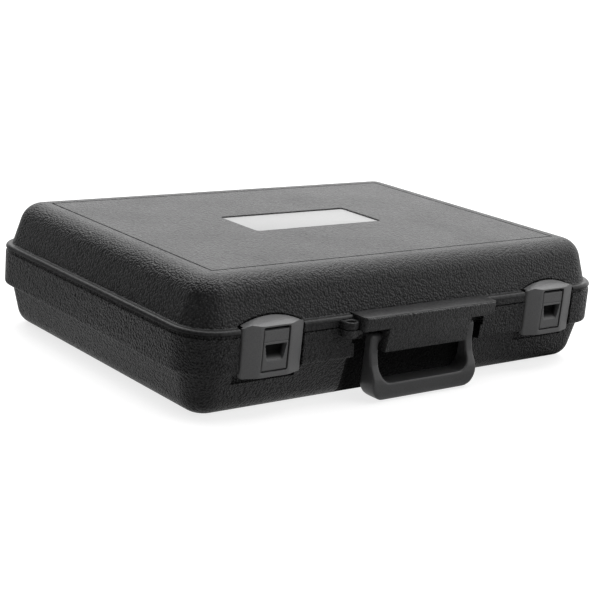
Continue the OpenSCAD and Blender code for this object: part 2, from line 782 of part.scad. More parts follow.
module latch_trigger(side) {
    w = window_w - 1.6;
    z0 = window_z0 + 0.8;
    z1 = window_z1 - 2;
    face = latch_front + 0.4;
    back = latch_pin_y - latch_pin_r - 0.5;
    scoop_z0 = z0 + 7.6;
    scoop_z1 = trigger_pin_z - 2.8;
    scoop_back = face + scoop_t + trigger_wall;
    color(smooth_colour)
        translate([side * latch_x, 0, 0])
            difference() {
                union() {
                    along_x(-w / 2, w / 2, [[face, z0], [face, z1 - 1], [face + 1, z1], [back, z1], [back, z0]]);
                    bar_x(-w / 2, w / 2, trigger_pin_y, trigger_pin_z, boss_r - 0.2);
                    // Cup behind the finger scoop
                    along_x(-w / 2, w / 2, [[back - 1, scoop_z0], [scoop_back, scoop_z1 - 6],
                        [scoop_back, scoop_z1], [back - 1, scoop_z1 + 1.5]]);
                }
                // Finger scoop, wider and deeper towards its top
                intersection() {
                    along_x(-w, w, [[face - cut, scoop_z0], [face, scoop_z0], [face + scoop_t, scoop_z1 - 4],
                        [face + scoop_t, scoop_z1 - 0.8], [face, scoop_z1], [face - cut, scoop_z1]]);
                    along_y(face - cut, face + 3 * scoop_t)
                        polygon([[4.4 - w / 2, scoop_z0], [w / 2 - 4.4, scoop_z0],
                            [w / 2 - 2.1, scoop_z1], [2.1 - w / 2, scoop_z1]]);
                }
                // Fine line across at the pivot
                span([-w, face - cut, trigger_pin_z - 1.2], [w, face + 0.5, trigger_pin_z - 0.7]);
                bar_x(-w, w, trigger_pin_y, trigger_pin_z, trigger_pin_r + run);
            }
}

module left_latch_trigger() { latch_trigger(-1); }
module right_latch_trigger() { latch_trigger(1); }

module latch_pin(side) {
    reach = cheek_x + cheek_w / 2;
    color(steel_colour)
        bar_x(side * latch_x - reach, side * latch_x + reach, latch_pin_y, latch_pin_z, latch_pin_r);
}

module left_latch_pin() { latch_pin(-1); }
module right_latch_pin() { latch_pin(1); }

module trigger_pin(side) {
    reach = window_w / 2 + boss_w - 0.5;
    color(steel_colour)
        bar_x(side * latch_x - reach, side * latch_x + reach, trigger_pin_y, trigger_pin_z, trigger_pin_r);
}

module left_trigger_pin() { trigger_pin(-1); }
module right_trigger_pin() { trigger_pin(1); }

base_shell();
lid_shell();
label_plate();
base_foam_pad();
base_foam_tray();
lid_foam();
handle_bracket();
bracket_screws();
carry_handle();
left_handle_pin();
right_handle_pin();
left_hinge_pin();
right_hinge_pin();
left_latch_frame();
right_latch_frame();
left_latch_trigger();
right_latch_trigger();
left_latch_pin();
right_latch_pin();
left_trigger_pin();
right_trigger_pin();
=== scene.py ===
# %% [markdown]
# # A moulded carry case for an otoscope
# The case is blow-moulded: a hot tube of black plastic is blown against a mould, which leaves
# soft rolled edges, a double wall and a pebble grain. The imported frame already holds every
# part at full size, so this script dresses it: it models the soft forms and the finishes.

# %% Load the frame
import bpy
import bmesh
import math
from mathutils import Matrix, Vector


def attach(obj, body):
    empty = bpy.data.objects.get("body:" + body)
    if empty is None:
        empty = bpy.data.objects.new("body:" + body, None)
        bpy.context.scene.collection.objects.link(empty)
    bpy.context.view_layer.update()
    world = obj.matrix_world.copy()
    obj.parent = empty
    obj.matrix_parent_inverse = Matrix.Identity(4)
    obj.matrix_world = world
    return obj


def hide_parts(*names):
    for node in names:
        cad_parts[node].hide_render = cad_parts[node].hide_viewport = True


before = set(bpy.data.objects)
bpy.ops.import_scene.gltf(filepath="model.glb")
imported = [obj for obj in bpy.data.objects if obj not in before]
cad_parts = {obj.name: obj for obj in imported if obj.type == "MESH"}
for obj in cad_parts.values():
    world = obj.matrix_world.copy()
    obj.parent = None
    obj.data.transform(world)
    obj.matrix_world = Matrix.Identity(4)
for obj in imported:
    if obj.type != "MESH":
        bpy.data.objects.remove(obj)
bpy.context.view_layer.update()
MM = 0.001

# %% [markdown]
# ## Camera
# The photograph is taken from the front left corner, a little above the lid, with a long lens.
# The camera's place comes from a fit of the case's edges, so the lens, the height and the slight
# roll of the horizon are the photograph's own.

# %% Place the camera
camera_data = bpy.data.cameras.new("studio_camera")
camera_data.sensor_width = 36.0
camera_data.lens = 90.75
camera = bpy.data.objects.new("studio_camera", camera_data)
bpy.context.scene.collection.objects.link(camera)
to_right = Vector((0.78856, -0.60945, 0.08216)).normalized()
to_back = Vector((-0.6075, -0.7513, 0.2578)).normalized()
to_up = to_back.cross(to_right)
stand = Vector((-0.74136, -0.91842, 0.34684))
camera.matrix_world = Matrix((
    (to_right.x, to_up.x, to_back.x, stand.x),
    (to_right.y, to_up.y, to_back.y, stand.y),
    (to_right.z, to_up.z, to_back.z, stand.z),
    (0, 0, 0, 1)))
bpy.context.scene.camera = camera
print("camera stands", round(stand.length, 2), "m from the case")

# %% [markdown]
# ## Small tools for moulded forms
# A moulded shell is a stack of rounded rectangles that follow a side profile. Pockets and
# recesses are cut with mating blocks, whose mouths flare a little, as a mould's edges do.

# %% Rounded outlines
def rim_ring(half_w, half_d, radius, middle_y, height, steps=12):
    """A rounded rectangle of points at one height."""
    ring = []
    corners = ((1, 1, 0), (-1, 1, 90), (-1, -1, 180), (1, -1, 270))
    for sx, sy, start in corners:
        for k in range(steps + 1):
            a = math.radians(start + 90 * k / steps)
            ring.append((sx * (half_w - radius) + radius * math.cos(a),
                         middle_y + sy * (half_d - radius) + radius * math.sin(a), height))
    return ring


def eased(points, radius, steps=4):
    """Rounds the corners of an open side profile."""
    soft = [points[0]]
    for before, here, after in zip(points, points[1:], points[2:]):
        h = Vector(here)
        a, b = Vector(before) - h, Vector(after) - h
        reach = min(radius, a.length * 0.45, b.length * 0.45)
        if a.length < 1e-6 or b.length < 1e-6 or a.angle(-b) < 0.12:
            soft.append(here)
            continue
        p, q = h + a.normalized() * reach, h + b.normalized() * reach
        for k in range(steps + 1):
            t = k / steps
            soft.append(tuple(p * (1 - t) ** 2 + h * 2 * t * (1 - t) + q * t ** 2))
    return soft + [points[-1]]


def grown(outline, amount):
    """Moves a closed outline outwards by amount, with square corners kept square."""
    moved = []
    n = len(outline)
    area = sum(outline[i][0] * outline[(i + 1) % n][1] - outline[(i + 1) % n][0] * outline[i][1]
               for i in range(n))
    side = 1 if area > 0 else -1
    for i in range(n):
        here = Vector(outline[i])
        a = (here - Vector(outline[i - 1])).normalized()
        b = (Vector(outline[(i + 1) % n]) - here).normalized()
        na, nb = Vector((a.y, -a.x)) * side, Vector((b.y, -b.x)) * side
        mid = na + nb
        moved.append(tuple(here + mid * (amount / max(0.3, 1 + na.dot(nb)))))
    return moved


def round_rect(width, depth, radius, cx=0.0, cy=0.0, steps=6):
    """A flat rounded rectangle about a centre."""
    return [(x + cx, y + cy) for x, y, z in rim_ring(width / 2, depth / 2, radius, 0, 0, steps)]


# %% Skins, prisms and blocks
def skin(rings, closed_loop=False):
    """Joins rings of points, given in mm, into one closed mesh."""
    bm = bmesh.new()
    rows = [[bm.verts.new(Vector(p) * MM) for p in ring] for ring in rings]
    pairs = list(zip(rows, rows[1:]))
    if closed_loop:
        pairs.append((rows[-1], rows[0]))
    for low, high in pairs:
        n = len(low)
        for i in range(n):
            bm.faces.new((low[i], low[(i + 1) % n], high[(i + 1) % n], high[i]))
    if not closed_loop:
        bm.faces.new(list(reversed(rows[0])))
        bm.faces.new(rows[-1])
    bmesh.ops.recalc_face_normals(bm, faces=bm.faces)
    return bm


def along(axis, outline, low, high, flare=0.0, flare_at=None, out=1):
    """A prism along X, Y or Z. With flare, its mouth at flare_at widens by that much; out says
    whether the mouth opens to higher values (1) or to lower ones (-1)."""
    def place(point, t):
        u, v = point
        return {"X": (t, u, v), "Y": (u, t, v), "Z": (u, v, t)}[axis]
    rings = [[place(p, low) for p in outline], [place(p, high) for p in outline]]
    if flare:
        wide = grown(outline, flare)
        mouth = [[place(p, flare_at - out * flare) for p in outline],
                 [place(p, flare_at) for p in wide],
                 [place(p, high if out > 0 else low) for p in wide]]
        rings = [rings[0 if out > 0 else 1]] + mouth
    return skin(rings)


def block(axis, us, vs, ends):
    """A box, given by its ranges across an axis and along it."""
    (u0, u1), (v0, v1) = us, vs
    return along(axis, [(u0, v0), (u1, v0), (u1, v1), (u0, v1)], *ends)


def rounded_bar(x0, x1, y, z, radius, ease=0.5, steps=32):
    """A bar along X with eased ends."""
    turn = [2 * math.pi * k / steps for k in range(steps)]
    stations = [(x0, radius - ease), (x0 + ease * 0.3, radius - ease * 0.3), (x0 + ease, radius),
                (x1 - ease, radius), (x1 - ease * 0.3, radius - ease * 0.3), (x1, radius - ease)]
    return skin([[(x, y + r * math.cos(a), z + r * math.sin(a)) for a in turn] for x, r in stations])


# %% Objects, cuts and edges
def as_object(name, bm):
    """Puts a mesh under construction into the scene."""
    mesh = bpy.data.meshes.new(name)
    bm.to_mesh(mesh)
    bm.free()
    obj = bpy.data.objects.new(name, mesh)
    bpy.context.scene.collection.objects.link(obj)
    return obj


def baked(obj):
    """Applies an object's modifiers."""
    graph = bpy.context.evaluated_depsgraph_get()
    mesh = bpy.data.meshes.new_from_object(obj.evaluated_get(graph))
    old = obj.data
    obj.modifiers.clear()
    obj.data = mesh
    bpy.data.meshes.remove(old)
    return obj


def worked(obj, tools, operation="DIFFERENCE"):
    """Cuts an object with tools, or joins or trims it with them."""
    for k, bm in enumerate(tools):
        tool = as_object(f"tool_{k}", bm)
        step = obj.modifiers.new("work", "BOOLEAN")
        step.operation = operation
        step.solver = "EXACT"
        step.object = tool
        baked(obj)
        bpy.data.objects.remove(tool)
    return obj


def joined(obj, parts):
    """Adds loose meshes to an object."""
    bm = bmesh.new()
    bm.from_mesh(obj.data)
    for part in parts:
        mesh = bpy.data.meshes.new("part")
        part.to_mesh(mesh)
        part.free()
        bm.from_mesh(mesh)
        bpy.data.meshes.remove(mesh)
    bm.to_mesh(obj.data)
    bm.free()
    return obj


def as_part(obj):
    """Takes an object out of the scene again, as a loose mesh for joined."""
    bm = bmesh.new()
    bm.from_mesh(obj.data)
    bpy.data.objects.remove(obj)
    return bm


def bevelled(obj, width, steps=3, angle=32):
    """Rounds the sharp edges; width in mm, angle in degrees."""
    edge = obj.modifiers.new("edges", "BEVEL")
    edge.width = width * MM
    edge.segments = steps
    edge.limit_method = "ANGLE"
    edge.angle_limit = math.radians(angle)
    return baked(obj)


def smooth(obj, angle=35):
    """Smooth shading, with a crease where faces meet at more than angle degrees."""
    obj.data.shade_smooth()
    obj.data.set_sharp_from_angle(angle=math.radians(angle))
    return obj


def fitted(obj, body, node, material):
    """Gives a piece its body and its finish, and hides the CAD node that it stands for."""
    obj.data.materials.clear()
    obj.data.materials.append(material)
    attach(obj, body)
    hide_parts(node)
    print(obj.name, len(obj.data.polygons), "faces, rides on", body)
    return obj


# %% [markdown]
# ## Finishes
# The shells carry a pebble grain that breaks their sheen into sparks; latches and handle are
# moulded smooth, with the faint cloudiness of handled plastic. Grain and clouding are node
# groups that every finish uses with its own values. Pebbles of one or two millimetres could be
# modelled, but would cost millions of faces, so they are a bump, made of cells, which needs no
# picture and no unwrapping. The recess behind the grip and the triggers' scoops carry painted
# shade: by their place on the case their skins are painted nearly black, darker than this light
# leaves them.

# %% A group that makes pebble grain
def new_group(name, inputs, outputs):
    """An empty node group with named number inputs and outputs."""
    group = bpy.data.node_groups.new(name, "ShaderNodeTree")
    for label, value in inputs:
        socket = group.interface.new_socket(label, in_out="INPUT", socket_type="NodeSocketFloat")
        socket.default_value = value
    for label, kind in outputs:
        group.interface.new_socket(label, in_out="OUTPUT", socket_type=kind)
    start = group.nodes.new("NodeGroupInput")
    end = group.nodes.new("NodeGroupOutput")
    return group, start, end


def add(tree, kind, **settings):
    """A new node, with its settings."""
    node = tree.nodes.new(kind)
    for key, value in settings.items():
        setattr(node, key, value)
    return node


def maths(tree, operation, a, b):
    """The result of one sum of two numbers or sockets."""
    node = tree.nodes.new("ShaderNodeMath")
    node.operation = operation
    for k, value in enumerate((a, b)):
        if isinstance(value, (int, float)):
            node.inputs[k].default_value = value
        else:
            tree.links.new(value, node.inputs[k])
    return node.outputs[0]


def eased_range(tree, value, low, high, at_low, at_high):
    """Fades smoothly from at_low to at_high while the value goes from low to high."""
    fade = add(tree, "ShaderNodeMapRange", interpolation_type="SMOOTHSTEP")
    limits = (("From Min", low), ("From Max", high), ("To Min", at_low), ("To Max", at_high))
    for socket, number in limits:
        fade.inputs[socket].default_value = number
    tree.links.new(value, fade.inputs["Value"])
    return fade.outputs["Result"]


DOME_SHARE, FINE_SHARE, FINE_SCALE = 0.7, 0.6, 0.6
grain_group, g_in, g_out = new_group(
    "Pebble Grain", [("Pebbles per metre", 700.0), ("Softness", 0.4)],
    [("Height", "NodeSocketFloat"), ("Pebble tops", "NodeSocketFloat")])
g_place = add(grain_group, "ShaderNodeTexCoord")
g_cells = add(grain_group, "ShaderNodeTexVoronoi", feature="SMOOTH_F1")
g_cells.inputs["Smoothness"].default_value = 0.35
g_fine = add(grain_group, "ShaderNodeTexNoise")
g_fine.inputs["Detail"].default_value = 3.0
grain_group.links.new(g_place.outputs["Object"], g_cells.inputs["Vector"])
grain_group.links.new(g_place.outputs["Object"], g_fine.inputs["Vector"])
grain_group.links.new(g_in.outputs["Pebbles per metre"], g_cells.inputs["Scale"])
grain_group.links.new(maths(grain_group, "MULTIPLY", g_in.outputs["Pebbles per metre"], FINE_SCALE),
                      g_fine.inputs["Scale"])
g_dome = maths(grain_group, "SUBTRACT", 1.0, g_cells.outputs["Distance"])
g_mix = maths(grain_group, "ADD", maths(grain_group, "MULTIPLY", g_dome, DOME_SHARE),
              maths(grain_group, "MULTIPLY", g_fine.outputs[0], FINE_SHARE))
grain_group.links.new(g_mix, g_out.inputs["Height"])
grain_group.links.new(maths(grain_group, "SUBTRACT", g_mix, g_in.outputs["Softness"]),
                      g_out.inputs["Pebble tops"])

# %% A group that clouds a surface, as handling and storage do
SCUFF_START, SCUFF_SHARPNESS = 0.62, 6.0
cloud_group, c_in, c_out = new_group(
    "Handling Clouds", [("Patches per metre", 18.0), ("Contrast", 1.0)],
    [("Clouds", "NodeSocketFloat"), ("Scuffs", "NodeSocketFloat")])
c_place = add(cloud_group, "ShaderNodeTexCoord")
c_wide = add(cloud_group, "ShaderNodeTexNoise")
c_wide.inputs["Detail"].default_value = 4.0
c_long = add(cloud_group, "ShaderNodeMapping")
c_long.inputs["Scale"].default_value = (1.0, 0.18, 1.0)
c_long.inputs["Rotation"].default_value = (0.0, 0.0, 0.5)
c_scuff = add(cloud_group, "ShaderNodeTexNoise")
c_scuff.inputs["Scale"].default_value = 260.0
c_scuff.inputs["Detail"].default_value = 5.0
cloud_group.links.new(c_place.outputs["Object"], c_wide.inputs["Vector"])
cloud_group.links.new(c_place.outputs["Object"], c_long.inputs["Vector"])
cloud_group.links.new(c_long.outputs["Vector"], c_scuff.inputs["Vector"])
cloud_group.links.new(c_in.outputs["Patches per metre"], c_wide.inputs["Scale"])
c_sharp = maths(cloud_group, "MULTIPLY", maths(cloud_group, "SUBTRACT", c_wide.outputs[0], 0.5),
                c_in.outputs["Contrast"])
cloud_group.links.new(maths(cloud_group, "ADD", c_sharp, 0.5), c_out.inputs["Clouds"])
c_marks = maths(cloud_group, "MULTIPLY",
                maths(cloud_group, "SUBTRACT", c_scuff.outputs[0], SCUFF_START), SCUFF_SHARPNESS)
c_clip = cloud_group.nodes.new("ShaderNodeClamp")
cloud_group.links.new(c_marks, c_clip.inputs[0])
cloud_group.links.new(c_clip.outputs[0], c_out.inputs["Scuffs"])


# %% Plastic, from smooth to grained
def within(tree, value, low, high):
    """1 where value lies between low and high, in mm."""
    return maths(tree, "MULTIPLY", maths(tree, "GREATER_THAN", value, low * MM),
                 maths(tree, "LESS_THAN", value, high * MM))


def tinted(tree, factor, low, high):
    """A mix of two colours; each is a colour or a socket."""
    mix = tree.nodes.new("ShaderNodeMix")
    mix.data_type = "RGBA"
    tree.links.new(factor, mix.inputs["Factor"])
    for label, colour in (("A", low), ("B", high)):
        if isinstance(colour, tuple):
            mix.inputs[label].default_value = (*colour, 1)
        else:
            tree.links.new(colour, mix.inputs[label])
    return mix.outputs["Result"]


# The black of painted shade for recesses and hollows, and how much grain is left in a calm band
PAINTED_SHADE_BLACK = (0.0006, 0.0006, 0.0006)
CALM_GRAIN = 0.12
# How much pebble tops and clouds lighten the colour, and clouds and scuffs roughen the sheen
TOPS_LIGHTEN, CLOUDS_LIGHTEN = 1.6, 0.5
CLOUDS_ROUGHEN, SCUFFS_ROUGHEN = 0.18, 0.1


def plastic(name, dark, light, rough, grain, pebbles=700.0, sparks=0.12, gloss=0.5, calm=None,
            painted_shade_box=None, painted_shade_deep=None):
    """dark and light are the colours in the valleys and on the tops, grain the bump's depth in mm.
    calm is a band of heights, in mm, where the grain nearly fades. painted_shade_box is a recess, as
    three ranges in mm, whose colour is painted deep black as painted shade. painted_shade_deep is a
    pair of places along Y, in mm, between which a hollow's painted shade fades in to that black."""
    material = bpy.data.materials.new(name)
    material.use_nodes = True
    tree = material.node_tree
    shader = tree.nodes["Principled BSDF"]
    shader.inputs["Specular IOR Level"].default_value = gloss
    grains = add(tree, "ShaderNodeGroup")
    grains.node_tree = grain_group
    grains.inputs["Pebbles per metre"].default_value = pebbles
    clouds = add(tree, "ShaderNodeGroup")
    clouds.node_tree = cloud_group
    share = maths(tree, "ADD", maths(tree, "MULTIPLY", grains.outputs["Pebble tops"], TOPS_LIGHTEN),
                  maths(tree, "MULTIPLY", clouds.outputs["Clouds"], CLOUDS_LIGHTEN))
    colour = tinted(tree, share, dark, light)
    place = add(tree, "ShaderNodeTexCoord")
    split = add(tree, "ShaderNodeSeparateXYZ")
    tree.links.new(place.outputs["Object"], split.inputs[0])
    # Painted shade: recesses and hollows are painted a deep black by their place on the case
    painted_shade = None
    if painted_shade_box:
        painted_shade = 1.0
        for axis, (low, high) in zip("XYZ", painted_shade_box):
            painted_shade = maths(tree, "MULTIPLY", painted_shade, within(tree, split.outputs[axis], low, high))
    if painted_shade_deep:
        shade_starts_at, shade_full_at = painted_shade_deep
        painted_shade = eased_range(tree, split.outputs["Y"], shade_starts_at * MM, shade_full_at * MM, 0.0, 1.0)
    if painted_shade is not None:
        colour = tinted(tree, painted_shade, colour, PAINTED_SHADE_BLACK)
    tree.links.new(colour, shader.inputs["Base Color"])
    drift = maths(tree, "SUBTRACT", clouds.outputs["Clouds"], 0.5)
    glint = maths(tree, "MULTIPLY", grains.outputs["Pebble tops"], sparks)
    scuffed = maths(tree, "MULTIPLY", clouds.outputs["Scuffs"], SCUFFS_ROUGHEN)
    sheen = maths(tree, "ADD", rough, maths(tree, "MULTIPLY", drift, CLOUDS_ROUGHEN))
    sheen = maths(tree, "SUBTRACT", sheen, glint)
    sheen = maths(tree, "ADD", sheen, scuffed)
    # Where shade is painted, the sheen is made rough as well
    if painted_shade is not None:
        sheen = maths(tree, "ADD", sheen, painted_shade)
    tree.links.new(sheen, shader.inputs["Roughness"])
    bump = tree.nodes.new("ShaderNodeBump")
    bump.inputs["Distance"].default_value = grain * MM
    bump.inputs["Strength"].default_value = 1.0
    height = grains.outputs["Height"]
    if calm:
        grainy = maths(tree, "SUBTRACT", 1.0, within(tree, split.outputs["Z"], *calm))
        share_left = maths(tree, "ADD", CALM_GRAIN, maths(tree, "MULTIPLY", grainy, 1 - CALM_GRAIN))
        height = maths(tree, "MULTIPLY", height, share_left)
    tree.links.new(height, bump.inputs["Height"])
    tree.links.new(bump.outputs["Normal"], shader.inputs["Normal"])
    return material


lid_finish = plastic("grained_lid", (0.004, 0.004, 0.0045), (0.026, 0.026, 0.0265), 0.42, 0.9,
                     pebbles=640.0, sparks=0.16, gloss=0.23, calm=(61.3, 65.2))
# The recess behind the grip is painted deep black: painted shade in the base's colour
grip_recess_shade = ((-63, 63), (-143.6, -120), (-1, 46))
base_finish_and_shade = plastic("grained_base_painted_shade", (0.0015, 0.0015, 0.0018), (0.030, 0.030, 0.0305), 0.42, 1.7,
                      pebbles=640.0, sparks=0.32, gloss=0.22, painted_shade_box=grip_recess_shade)
bracket_finish = plastic("grained_bracket", (0.008, 0.008, 0.0085), (0.040, 0.040, 0.0405), 0.42, 0.9,
                         pebbles=700.0, sparks=0.14, gloss=0.26, calm=(65.6, 67.0))
latch_finish = plastic("smooth_latch", (0.090, 0.090, 0.091), (0.125, 0.125, 0.126), 0.40, 0.03,
                       pebbles=1800.0, sparks=0.03, gloss=0.4)
# The trigger's finger scoop fades to deep black as it deepens: painted shade in its colour
trigger_finish_and_shade = plastic("smooth_trigger_painted_shade", (0.080, 0.080, 0.081), (0.115, 0.115, 0.116), 0.40, 0.03,
                         pebbles=1800.0, sparks=0.03, gloss=0.4, painted_shade_deep=(-147.0, -142.9))
handle_finish = plastic("smooth_handle", (0.032, 0.032, 0.033), (0.056, 0.056, 0.057), 0.34, 0.03,
                        pebbles=1800.0, sparks=0.03, gloss=0.45)
label_finish = plastic("label_grey", (0.31, 0.31, 0.31), (0.37, 0.37, 0.37), 0.50, 0.02,
                       pebbles=2500.0, sparks=0.03)
steel_finish = plastic("pin_steel", (0.42, 0.43, 0.44), (0.60, 0.61, 0.62), 0.30, 0.01, pebbles=2500.0)
steel_finish.node_tree.nodes["Principled BSDF"].inputs["Metallic"].default_value = 1.0
foam_finish = plastic("charcoal_foam", (0.010, 0.010, 0.012), (0.060, 0.060, 0.065), 0.92, 0.55,
                      pebbles=520.0, sparks=0.0, gloss=0.2)
print("finishes:", [m.name for m in bpy.data.materials])

# %% [markdown]
# ## The base half
# The base is a tray with a rim band, a leaning wall and a rolled bottom. It is one skin that
# runs from the underside up the outside, over the rim and down into the tray, so the double
# wall has its real thickness. A box with a bevel would do for one radius, but this wall has
# several, and a stack of rings gives each its own. Latch pockets, the handle's recess and the
# bracket's seat are then cut, as they interrupt the rings.

# %% Sizes that both halves share, in mm
HALF_W, HALF_D, CORNER = 200.0, 144.0, 30.0
# Heights: where the halves meet, the lid's flange and its top
PARTING, FLANGE, TOP = 61.5, 65.0, 98.0
FRONT = -HALF_D
# The tray inside: half width, half depth, corner and the middle's y
CAVITY = (185.0, 123.0, 17.0, 6.0)
# Latches and their pockets
LATCH_X, LATCH_HALF, HEAD_TOP = 135.5, 26.0, 71.2
POCKET_FOOT, POCKET_BACK, POCKET_GAP = 24.0, -134.5, 1.0
LATCH_PIN_Y, LATCH_PIN_Z = -140.8, 34.5
# From a latch's middle: the base's lugs and the trigger's cheeks, then the latch's own cheeks
LUG_X, CHEEK_X = 13.5, 22.5
# The bracket's seat, and the lid's front lip beside it
SEAT_HALF, LIP_FOOT, LIP_BACK, LIP_END = 64.8, 57.0, -138.5, 108.5
# Cutting blocks reach past the case to these places
AHEAD, BELOW, ABOVE = -160.0, 20.0, 80.0
SIDES = (-1, 1)


def case_ring(inset, height):
    """The case's outline at a height, drawn in by inset."""
    return rim_ring(HALF_W - inset, HALF_D - inset, CORNER - inset, 0, height)


def cavity_ring(inset, height):
    """The tray's outline at a height, drawn in by inset."""
    hw, hd, r, y = CAVITY
    return rim_ring(hw - inset, hd - inset, r - inset, y, height)


# %% Cutting tools that both halves share
def head_arc(w, top, arch=62.0, steps=16):
    """The shallow arc along the top of a latch's head, from its right end to its left."""
    wide = math.asin(w / arch)
    turn = [wide * (1 - 2 * k / steps) for k in range(steps + 1)]
    return [(arch * math.sin(a), top - arch * (1 - math.cos(a))) for a in turn]


def pocket_tool(side):
    """The block that cuts one latch's pocket."""
    w = LATCH_HALF + POCKET_GAP
    outline = [(-w, POCKET_FOOT), (w, POCKET_FOOT)] + head_arc(w, HEAD_TOP + POCKET_GAP)
    outline = [(x + side * LATCH_X, z) for x, z in outline]
    return along("Y", outline, AHEAD, POCKET_BACK, flare=0.5, flare_at=FRONT, out=-1)


# %% Loft the base
ROLL, SLOPE = 15.0, 0.24
BAND_STEP, BAND_FOOT, BAND_TOP, TRAY_FLOOR = 6, 33, 59.1, 7.0
base_rim = PARTING - 0.15
lean = math.atan(SLOPE)
foot = BAND_STEP + (BAND_FOOT - ROLL * (1 - math.sin(lean))) * SLOPE + ROLL * math.cos(lean)
roll = [(foot - ROLL * math.sin(a), ROLL * (1 - math.cos(a)))
        for a in [(math.pi / 2 - lean) * k / 12 for k in range(13)]]
band = [roll[-1], (BAND_STEP, BAND_FOOT), (0, BAND_FOOT), (0, BAND_TOP)]
rim_edge = [(0, LIP_FOOT), (0, BAND_TOP), (1.2, 59.5), (1.2, base_rim), (8, base_rim)]
tray_wall = [(-4, base_rim), (0, base_rim), (8.2, TRAY_FLOOR), (16.5, TRAY_FLOOR)]
base_rings = [case_ring(i, z) for i, z in roll[:-1]]
base_rings += [case_ring(i, z) for i, z in eased(band, 2.6, 5)[:-1]]
base_rings += [case_ring(i, z) for i, z in eased(rim_edge, 0.35, 3)[:-1]]
base_rings += [cavity_ring(i, z) for i, z in eased(tray_wall, 4.0)]
base = as_object("base_half", skin(base_rings))

# %% Cut the base
RECESS_HALF, RECESS_TOP, RECESS_FOOT, RECESS_BACK = 62.0, 45.5, -6, -123
SEAT_FOOT, SEAT_BACK = 44, -134
LIP_GAP, LIP_END_GAP = 0.3, 1.5
recess_foot_half = RECESS_HALF - 4
recess_front = [(-RECESS_HALF, RECESS_TOP), (-recess_foot_half, RECESS_FOOT),
                (recess_foot_half, RECESS_FOOT), (RECESS_HALF, RECESS_TOP)]
recess = along("Y", recess_front, AHEAD, RECESS_BACK, flare=0.8, flare_at=FRONT + BAND_STEP, out=-1)
seat = block("Y", (-SEAT_HALF, SEAT_HALF), (SEAT_FOOT, ABOVE), (AHEAD, SEAT_BACK))
lip_room = block("X", (AHEAD, LIP_BACK + LIP_GAP), (LIP_FOOT - LIP_GAP, ABOVE),
                 (-LIP_END - LIP_END_GAP, LIP_END + LIP_END_GAP))
worked(base, [recess, seat, lip_room] + [pocket_tool(s) for s in SIDES])
print("base cut,", len(base.data.polygons), "faces")


# %% Lugs, hinge knuckles and the padlock eye
HINGE_X, HINGE_Y, KNUCKLE_R = 110, 149.2, 4.8
KNUCKLES, KNUCKLE_L, KNUCKLE_GAP, WEB_Y = 5, 14, 0.2, 143
EYE_X, EYE_HALF, EYE_TIP, EYE_CORNER, EYE_TALL = -71.05, 6.25, -153.5, 6.0, 5.6
EYE_HOLE_Y, EYE_HOLE_R = -148.5, 3.2
LUG_R, LUG_HALF, LUG_ROOT = 2.6, 1.5, -133


def knuckle_bars(first, z0, z1):
    """Every second knuckle of both hinges, with the web that carries it."""
    bars = []
    for side in SIDES:
        for i in range(first, KNUCKLES, 2):
            x0 = side * HINGE_X + (i - KNUCKLES / 2) * KNUCKLE_L + KNUCKLE_GAP
            x1 = x0 + KNUCKLE_L - 2 * KNUCKLE_GAP
            bars.append(rounded_bar(x0, x1, HINGE_Y, PARTING, KNUCKLE_R))
            bars.append(block("X", (WEB_Y, HINGE_Y), (z0, z1), (x0 + 0.1, x1 - 0.1)))
    return bars


def padlock_eye(z0, back):
    """One half of the eye for a small padlock, beside the bracket's left end."""
    r, left, right = EYE_CORNER, EYE_X - EYE_HALF, EYE_X + EYE_HALF
    turn = [math.pi / 2 * k / 8 for k in range(9)]
    outline = [(left, back)]
    outline += [(left + r - r * math.cos(a), EYE_TIP + r - r * math.sin(a)) for a in turn]
    outline += [(right - r + r * math.sin(a), EYE_TIP + r - r * math.cos(a)) for a in turn]
    outline += [(right, back)]
    eye = as_object("eye", along("Z", outline, z0, z0 + EYE_TALL))
    hole = [(EYE_X + EYE_HOLE_R * math.cos(a), EYE_HOLE_Y + EYE_HOLE_R * math.sin(a)) for a in
            [2 * math.pi * k / 28 for k in range(28)]]
    worked(eye, [along("Z", hole, z0 - 2, z0 + EYE_TALL + 2)])
    return as_part(bevelled(eye, 1.0))


def pin_lug(x, half, y, z, radius, web_y, narrower):
    """A round lug on a pin's axis at y and z, with a slightly narrower web that reaches to web_y."""
    web_half = half - narrower
    web = block("X", sorted((y, web_y)), (z - radius, z + radius), (x - web_half, x + web_half))
    return [rounded_bar(x - half, x + half, y, z, radius, 0.3, 24), web]


def latch_lugs():
    """The base's lugs that hold the latch pins, two in each pocket."""
    lugs = []
    for side in SIDES:
        for s in SIDES:
            x = side * LATCH_X + s * LUG_X
            lugs += pin_lug(x, LUG_HALF, LATCH_PIN_Y, LATCH_PIN_Z, LUG_R, LUG_ROOT, 0.05)
    return lugs


joined(base, latch_lugs() + knuckle_bars(0, 56.9, 61.0))
smooth(base)
fitted(base, "base", "base_shell", base_finish_and_shade)

# %% [markdown]
# ## The lid half
# The lid has a rounded flange that catches a bright line of light, a narrow ledge, a leaning
# wall and a wide roll into the flat top. A fine groove frames the top like a picture, and a
# shallow tray in its middle holds the label. It is a stack of rings like the base, from the
# inside of its roof over the rim and up to the top.

